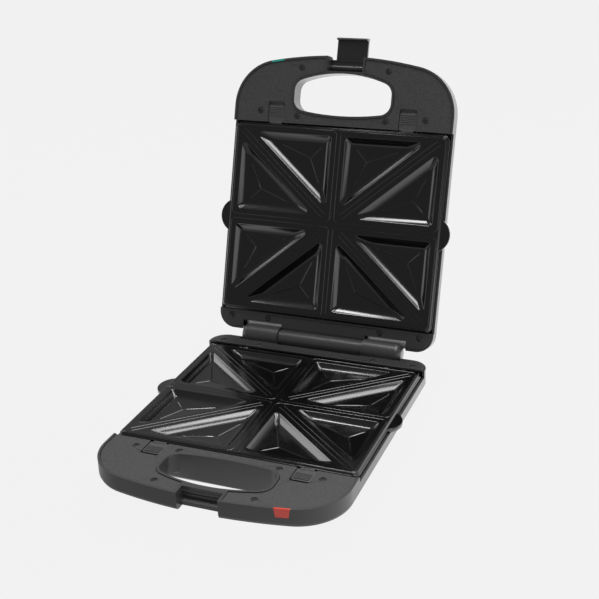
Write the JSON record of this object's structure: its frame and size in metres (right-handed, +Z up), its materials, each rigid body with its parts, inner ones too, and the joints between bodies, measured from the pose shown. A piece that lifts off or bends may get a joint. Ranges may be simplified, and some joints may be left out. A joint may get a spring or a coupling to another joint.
{
  "type": "sandwich toaster",
  "caption": "Countertop sandwich toaster, open: a hinged lid and a base with handles, each holding a removable non-stick plate with triangular pockets, and a swinging front latch.",
  "frame": {"origin": "centre of the object's footprint in the open pose, on the surface it stands on", "axes": "+X to the user's right, +Y to the rear, towards the hinge, +Z up"},
  "size_m": [0.271, 0.4516, 0.3618],
  "materials": {
    "housing": "satin black moulding",
    "handle_panel": "fine-grained dark grey moulding",
    "hinge_cover": "satin black moulding",
    "cooking_plate": "cast, with black non-stick coating",
    "heating_tube": "dulled steel sheath",
    "sheet_steel": "zinc-plated sheet",
    "reflector_sheet": "bright sheet",
    "ceramic_body": "unglazed ceramic",
    "red_lens": "tinted see-through moulding",
    "green_lens": "tinted see-through moulding",
    "lamp": "clear glass",
    "rubber": "matt black",
    "screw_steel": "blackened steel",
    "clip": "fine-grained dark grey moulding",
    "bright_steel": "bright drawn steel",
    "latch": "satin black moulding"
  },
  "bodies": {
    "base": {"base_shell": "housing", "base_panel": "handle_panel", "base_hinge_cover": "hinge_cover", "lower_element": "heating_tube", "lower_saddles": "sheet_steel", "lower_reflector": "reflector_sheet", "thermostat": "ceramic_body", "thermal_fuse": "ceramic_body", "red_lens": "red_lens", "red_lamp": "lamp", "feet": "rubber", "base_screws": "screw_steel", "lower_spring_left": "bright_steel", "lower_spring_right": "bright_steel", "hinge_pins": "bright_steel", "cord_gland": "rubber"},
    "lid": {"lid_shell": "housing", "lid_panel": "handle_panel", "lid_hinge_cover": "hinge_cover", "upper_element": "heating_tube", "upper_saddles": "sheet_steel", "upper_reflector": "reflector_sheet", "green_lens": "green_lens", "green_lamp": "lamp", "lid_screws": "screw_steel", "upper_spring_left": "bright_steel", "upper_spring_right": "bright_steel", "latch_pin": "bright_steel"},
    "latch": {"latch": "latch"},
    "lower_plate": {"lower_plate": "cooking_plate"},
    "upper_plate": {"upper_plate": "cooking_plate"},
    "lower_clip_left": {"lower_clip_left": "clip"},
    "lower_clip_right": {"lower_clip_right": "clip"},
    "upper_clip_left": {"upper_clip_left": "clip"},
    "upper_clip_right": {"upper_clip_right": "clip"}
  },
  "joints": [
    {"name": "lid_hinge", "type": "hinge", "parent": "base", "child": "lid", "pos_m": [0, 0.09524, 0.042], "axis": [-1, 0, 0], "range_deg": [-108.4, 0]},
    {"name": "latch_swing", "type": "hinge", "parent": "lid", "child": "latch", "pos_m": [0, 0.20283, 0.33059], "axis": [-1, 0, 0], "range_deg": [-90, 20]},
    {"name": "lower_plate_tilt", "type": "hinge", "parent": "base", "child": "lower_plate", "pos_m": [0, 0.06824, 0.038], "axis": [-1, 0, 0], "range_deg": [0, 35]},
    {"name": "upper_plate_tilt", "type": "hinge", "parent": "lid", "child": "upper_plate", "pos_m": [0, 0.10091, 0.06857], "axis": [1, 0, 0], "range_deg": [0, 35]},
    {"name": "lower_clip_left_slide", "type": "slide", "parent": "base", "child": "lower_clip_left", "axis": [0, -1, 0], "range_m": [0, 0.0035], "stiffness_N_per_m": 300, "springref_m": -0.004, "deforming": ["lower_spring_left"]},
    {"name": "lower_clip_right_slide", "type": "slide", "parent": "base", "child": "lower_clip_right", "axis": [0, -1, 0], "range_m": [0, 0.0035], "stiffness_N_per_m": 300, "springref_m": -0.004, "deforming": ["lower_spring_right"]},
    {"name": "upper_clip_left_slide", "type": "slide", "parent": "lid", "child": "upper_clip_left", "axis": [0, 0.3156, 0.9489], "range_m": [0, 0.0035], "stiffness_N_per_m": 300, "springref_m": -0.004, "deforming": ["upper_spring_left"]},
    {"name": "upper_clip_right_slide", "type": "slide", "parent": "lid", "child": "upper_clip_right", "axis": [0, 0.3156, 0.9489], "range_m": [0, 0.0035], "stiffness_N_per_m": 300, "springref_m": -0.004, "deforming": ["upper_spring_right"]}
  ]
}
